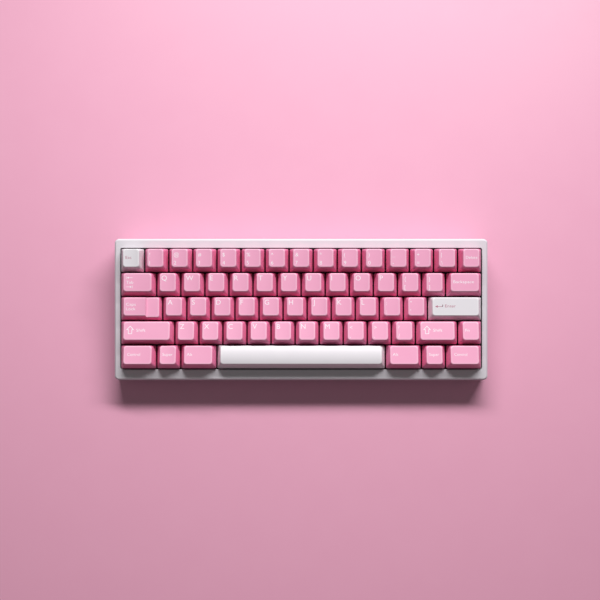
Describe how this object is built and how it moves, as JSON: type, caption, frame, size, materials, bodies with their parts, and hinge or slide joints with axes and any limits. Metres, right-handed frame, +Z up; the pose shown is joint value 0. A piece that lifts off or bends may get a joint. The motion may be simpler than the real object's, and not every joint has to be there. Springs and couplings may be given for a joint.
{
  "type": "mechanical keyboard",
  "caption": "Compact wedge-cased mechanical keyboard with sculpted pink and white key caps on sprung sliders, a wide space bar and a port at the back left.",
  "frame": {"origin": "middle of the footprint, on the surface the feet stand on", "axes": "+X to the typist's right, +Y away from the typist, +Z up; the key plane rises towards +Y by 6.5 degrees"},
  "size_m": [0.296, 0.1146, 0.042],
  "materials": {
    "case": "matte",
    "plate": "satin",
    "switches": "satin",
    "port": "satin",
    "feet": "matte",
    "pink_caps": "satin",
    "white_caps": "satin",
    "wires": "satin"
  },
  "bodies": {
    "case": {"case_top": "case", "case_bottom": "case", "switch_plate": "plate", "circuit_board": "switches", "usb_port": "port", "foot_front": "feet", "foot_rear": "feet"},
    "key_esc": {"key_esc": "white_caps"},
    "key_delete": {"key_delete": "pink_caps"},
    "key_tab": {"key_tab": "pink_caps"},
    "key_q": {"key_q": "pink_caps"},
    "key_w": {"key_w": "pink_caps"},
    "key_e": {"key_e": "pink_caps"},
    "key_r": {"key_r": "pink_caps"},
    "key_t": {"key_t": "pink_caps"},
    "key_y": {"key_y": "pink_caps"},
    "key_u": {"key_u": "pink_caps"},
    "key_i": {"key_i": "pink_caps"},
    "key_o": {"key_o": "pink_caps"},
    "key_p": {"key_p": "pink_caps"},
    "key_left_bracket": {"key_left_bracket": "pink_caps"},
    "key_right_bracket": {"key_right_bracket": "pink_caps"},
    "key_backspace": {"key_backspace": "pink_caps"},
    "key_caps_lock": {"key_caps_lock": "pink_caps"},
    "key_a": {"key_a": "pink_caps"},
    "key_s": {"key_s": "pink_caps"},
    "key_d": {"key_d": "pink_caps"},
    "key_f": {"key_f": "pink_caps"},
    "key_g": {"key_g": "pink_caps"},
    "key_h": {"key_h": "pink_caps"},
    "key_j": {"key_j": "pink_caps"},
    "key_k": {"key_k": "pink_caps"},
    "key_l": {"key_l": "pink_caps"},
    "key_semicolon": {"key_semicolon": "pink_caps"},
    "key_quote": {"key_quote": "pink_caps"},
    "key_enter": {"key_enter": "white_caps"},
    "key_left_shift": {"key_left_shift": "pink_caps"},
    "key_z": {"key_z": "pink_caps"},
    "key_x": {"key_x": "pink_caps"},
    "key_c": {"key_c": "pink_caps"},
    "key_v": {"key_v": "pink_caps"},
    "key_b": {"key_b": "pink_caps"},
    "key_n": {"key_n": "pink_caps"},
    "key_m": {"key_m": "pink_caps"},
    "key_comma": {"key_comma": "pink_caps"},
    "key_period": {"key_period": "pink_caps"},
    "key_slash": {"key_slash": "pink_caps"},
    "key_right_shift": {"key_right_shift": "pink_caps"},
    "key_fn": {"key_fn": "pink_caps"},
    "key_left_control": {"key_left_control": "pink_caps"},
    "key_left_super": {"key_left_super": "pink_caps"},
    "key_left_alt": {"key_left_alt": "pink_caps"},
    "key_space": {"key_space": "white_caps"},
    "key_right_alt": {"key_right_alt": "pink_caps"},
    "key_right_super": {"key_right_super": "pink_caps"},
    "key_right_control": {"key_right_control": "pink_caps"},
    "number_row_keys": {"number_row_keys": "pink_caps"},
    "space_wire": {"space_wire": "wires"},
    "enter_wire": {"enter_wire": "wires"},
    "shift_wire": {"shift_wire": "wires"}
  },
  "joints": [
    {"name": "press_space", "type": "slide", "parent": "case", "child": "key_space", "axis": [0, 0.1132, -0.9936], "range_m": [0, 0.004], "stiffness_N_per_m": 60, "springref_m": -0.006},
    {"name": "space_wire_swing", "type": "hinge", "parent": "case", "child": "space_wire", "pos_m": [0, -0.02812, 0.0146], "axis": [1, 0, 0], "range_deg": [0, 24.5]},
    {"name": "press_enter", "type": "slide", "parent": "case", "child": "key_enter", "axis": [0, 0.1132, -0.9936], "range_m": [0, 0.004], "stiffness_N_per_m": 60, "springref_m": -0.006},
    {"name": "enter_wire_swing", "type": "hinge", "parent": "case", "child": "enter_wire", "pos_m": [0.12144, 0.00973, 0.01892], "axis": [1, 0, 0], "range_deg": [0, 24.5]},
    {"name": "press_left_shift", "type": "slide", "parent": "case", "child": "key_left_shift", "axis": [0, 0.1132, -0.9936], "range_m": [0, 0.004], "stiffness_N_per_m": 60, "springref_m": -0.006},
    {"name": "shift_wire_swing", "type": "hinge", "parent": "case", "child": "shift_wire", "pos_m": [-0.12144, -0.00919, 0.01676], "axis": [1, 0, 0], "range_deg": [0, 24.5]},
    {"name": "press_number_row", "type": "slide", "parent": "case", "child": "number_row_keys", "axis": [0, 0.1132, -0.9936], "range_m": [0, 0.004], "stiffness_N_per_m": 780, "springref_m": -0.006},
    {"name": "press_right_shift", "type": "slide", "parent": "case", "child": "key_right_shift", "axis": [0, 0.1132, -0.9936], "range_m": [0, 0.004], "stiffness_N_per_m": 60, "springref_m": -0.006},
    {"name": "press_caps_lock", "type": "slide", "parent": "case", "child": "key_caps_lock", "axis": [0, 0.1132, -0.9936], "range_m": [0, 0.004], "stiffness_N_per_m": 60, "springref_m": -0.006},
    {"name": "press_tab", "type": "slide", "parent": "case", "child": "key_tab", "axis": [0, 0.1132, -0.9936], "range_m": [0, 0.004], "stiffness_N_per_m": 60, "springref_m": -0.006},
    {"name": "press_backspace", "type": "slide", "parent": "case", "child": "key_backspace", "axis": [0, 0.1132, -0.9936], "range_m": [0, 0.004], "stiffness_N_per_m": 60, "springref_m": -0.006},
    {"name": "press_esc", "type": "slide", "parent": "case", "child": "key_esc", "axis": [0, 0.1132, -0.9936], "range_m": [0, 0.004], "stiffness_N_per_m": 60, "springref_m": -0.006},
    {"name": "press_delete", "type": "slide", "parent": "case", "child": "key_delete", "axis": [0, 0.1132, -0.9936], "range_m": [0, 0.004], "stiffness_N_per_m": 60, "springref_m": -0.006},
    {"name": "press_fn", "type": "slide", "parent": "case", "child": "key_fn", "axis": [0, 0.1132, -0.9936], "range_m": [0, 0.004], "stiffness_N_per_m": 60, "springref_m": -0.006},
    {"name": "press_left_control", "type": "slide", "parent": "case", "child": "key_left_control", "axis": [0, 0.1132, -0.9936], "range_m": [0, 0.004], "stiffness_N_per_m": 60, "springref_m": -0.006},
    {"name": "press_left_super", "type": "slide", "parent": "case", "child": "key_left_super", "axis": [0, 0.1132, -0.9936], "range_m": [0, 0.004], "stiffness_N_per_m": 60, "springref_m": -0.006},
    {"name": "press_left_alt", "type": "slide", "parent": "case", "child": "key_left_alt", "axis": [0, 0.1132, -0.9936], "range_m": [0, 0.004], "stiffness_N_per_m": 60, "springref_m": -0.006},
    {"name": "press_right_alt", "type": "slide", "parent": "case", "child": "key_right_alt", "axis": [0, 0.1132, -0.9936], "range_m": [0, 0.004], "stiffness_N_per_m": 60, "springref_m": -0.006},
    {"name": "press_right_super", "type": "slide", "parent": "case", "child": "key_right_super", "axis": [0, 0.1132, -0.9936], "range_m": [0, 0.004], "stiffness_N_per_m": 60, "springref_m": -0.006},
    {"name": "press_right_control", "type": "slide", "parent": "case", "child": "key_right_control", "axis": [0, 0.1132, -0.9936], "range_m": [0, 0.004], "stiffness_N_per_m": 60, "springref_m": -0.006},
    {"name": "press_a", "type": "slide", "parent": "case", "child": "key_a", "axis": [0, 0.1132, -0.9936], "range_m": [0, 0.004], "stiffness_N_per_m": 60, "springref_m": -0.006},
    {"name": "press_f", "type": "slide", "parent": "case", "child": "key_f", "axis": [0, 0.1132, -0.9936], "range_m": [0, 0.004], "stiffness_N_per_m": 60, "springref_m": -0.006},
    {"name": "press_j", "type": "slide", "parent": "case", "child": "key_j", "axis": [0, 0.1132, -0.9936], "range_m": [0, 0.004], "stiffness_N_per_m": 60, "springref_m": -0.006},
    {"name": "press_g", "type": "slide", "parent": "case", "child": "key_g", "axis": [0, 0.1132, -0.9936], "range_m": [0, 0.004], "stiffness_N_per_m": 60, "springref_m": -0.006},
    {"name": "press_h", "type": "slide", "parent": "case", "child": "key_h", "axis": [0, 0.1132, -0.9936], "range_m": [0, 0.004], "stiffness_N_per_m": 60, "springref_m": -0.006},
    {"name": "press_q", "type": "slide", "parent": "case", "child": "key_q", "axis": [0, 0.1132, -0.9936], "range_m": [0, 0.004], "stiffness_N_per_m": 60, "springref_m": -0.006},
    {"name": "press_p", "type": "slide", "parent": "case", "child": "key_p", "axis": [0, 0.1132, -0.9936], "range_m": [0, 0.004], "stiffness_N_per_m": 60, "springref_m": -0.006},
    {"name": "press_z", "type": "slide", "parent": "case", "child": "key_z", "axis": [0, 0.1132, -0.9936], "range_m": [0, 0.004], "stiffness_N_per_m": 60, "springref_m": -0.006},
    {"name": "press_slash", "type": "slide", "parent": "case", "child": "key_slash", "axis": [0, 0.1132, -0.9936], "range_m": [0, 0.004], "stiffness_N_per_m": 60, "springref_m": -0.006},
    {"name": "press_semicolon", "type": "slide", "parent": "case", "child": "key_semicolon", "axis": [0, 0.1132, -0.9936], "range_m": [0, 0.004], "stiffness_N_per_m": 60, "springref_m": -0.006},
    {"name": "press_quote", "type": "slide", "parent": "case", "child": "key_quote", "axis": [0, 0.1132, -0.9936], "range_m": [0, 0.004], "stiffness_N_per_m": 60, "springref_m": -0.006},
    {"name": "press_w", "type": "slide", "parent": "case", "child": "key_w", "axis": [0, 0.1132, -0.9936], "range_m": [0, 0.004], "stiffness_N_per_m": 60, "springref_m": -0.006},
    {"name": "press_e", "type": "slide", "parent": "case", "child": "key_e", "axis": [0, 0.1132, -0.9936], "range_m": [0, 0.004], "stiffness_N_per_m": 60, "springref_m": -0.006},
    {"name": "press_r", "type": "slide", "parent": "case", "child": "key_r", "axis": [0, 0.1132, -0.9936], "range_m": [0, 0.004], "stiffness_N_per_m": 60, "springref_m": -0.006},
    {"name": "press_t", "type": "slide", "parent": "case", "child": "key_t", "axis": [0, 0.1132, -0.9936], "range_m": [0, 0.004], "stiffness_N_per_m": 60, "springref_m": -0.006},
    {"name": "press_y", "type": "slide", "parent": "case", "child": "key_y", "axis": [0, 0.1132, -0.9936], "range_m": [0, 0.004], "stiffness_N_per_m": 60, "springref_m": -0.006},
    {"name": "press_u", "type": "slide", "parent": "case", "child": "key_u", "axis": [0, 0.1132, -0.9936], "range_m": [0, 0.004], "stiffness_N_per_m": 60, "springref_m": -0.006},
    {"name": "press_i", "type": "slide", "parent": "case", "child": "key_i", "axis": [0, 0.1132, -0.9936], "range_m": [0, 0.004], "stiffness_N_per_m": 60, "springref_m": -0.006},
    {"name": "press_o", "type": "slide", "parent": "case", "child": "key_o", "axis": [0, 0.1132, -0.9936], "range_m": [0, 0.004], "stiffness_N_per_m": 60, "springref_m": -0.006},
    {"name": "press_left_bracket", "type": "slide", "parent": "case", "child": "key_left_bracket", "axis": [0, 0.1132, -0.9936], "range_m": [0, 0.004], "stiffness_N_per_m": 60, "springref_m": -0.006},
    {"name": "press_right_bracket", "type": "slide", "parent": "case", "child": "key_right_bracket", "axis": [0, 0.1132, -0.9936], "range_m": [0, 0.004], "stiffness_N_per_m": 60, "springref_m": -0.006},
    {"name": "press_s", "type": "slide", "parent": "case", "child": "key_s", "axis": [0, 0.1132, -0.9936], "range_m": [0, 0.004], "stiffness_N_per_m": 60, "springref_m": -0.006},
    {"name": "press_d", "type": "slide", "parent": "case", "child": "key_d", "axis": [0, 0.1132, -0.9936], "range_m": [0, 0.004], "stiffness_N_per_m": 60, "springref_m": -0.006},
    {"name": "press_k", "type": "slide", "parent": "case", "child": "key_k", "axis": [0, 0.1132, -0.9936], "range_m": [0, 0.004], "stiffness_N_per_m": 60, "springref_m": -0.006},
    {"name": "press_l", "type": "slide", "parent": "case", "child": "key_l", "axis": [0, 0.1132, -0.9936], "range_m": [0, 0.004], "stiffness_N_per_m": 60, "springref_m": -0.006},
    {"name": "press_x", "type": "slide", "parent": "case", "child": "key_x", "axis": [0, 0.1132, -0.9936], "range_m": [0, 0.004], "stiffness_N_per_m": 60, "springref_m": -0.006},
    {"name": "press_c", "type": "slide", "parent": "case", "child": "key_c", "axis": [0, 0.1132, -0.9936], "range_m": [0, 0.004], "stiffness_N_per_m": 60, "springref_m": -0.006},
    {"name": "press_v", "type": "slide", "parent": "case", "child": "key_v", "axis": [0, 0.1132, -0.9936], "range_m": [0, 0.004], "stiffness_N_per_m": 60, "springref_m": -0.006},
    {"name": "press_b", "type": "slide", "parent": "case", "child": "key_b", "axis": [0, 0.1132, -0.9936], "range_m": [0, 0.004], "stiffness_N_per_m": 60, "springref_m": -0.006},
    {"name": "press_n", "type": "slide", "parent": "case", "child": "key_n", "axis": [0, 0.1132, -0.9936], "range_m": [0, 0.004], "stiffness_N_per_m": 60, "springref_m": -0.006},
    {"name": "press_m", "type": "slide", "parent": "case", "child": "key_m", "axis": [0, 0.1132, -0.9936], "range_m": [0, 0.004], "stiffness_N_per_m": 60, "springref_m": -0.006},
    {"name": "press_comma", "type": "slide", "parent": "case", "child": "key_comma", "axis": [0, 0.1132, -0.9936], "range_m": [0, 0.004], "stiffness_N_per_m": 60, "springref_m": -0.006},
    {"name": "press_period", "type": "slide", "parent": "case", "child": "key_period", "axis": [0, 0.1132, -0.9936], "range_m": [0, 0.004], "stiffness_N_per_m": 60, "springref_m": -0.006}
  ],
  "couplings": [
    {"joint": "space_wire_swing", "follows": "press_space", "rad_per_m": 106.69},
    {"joint": "enter_wire_swing", "follows": "press_enter", "rad_per_m": 106.69},
    {"joint": "shift_wire_swing", "follows": "press_left_shift", "rad_per_m": 106.69}
  ]
}
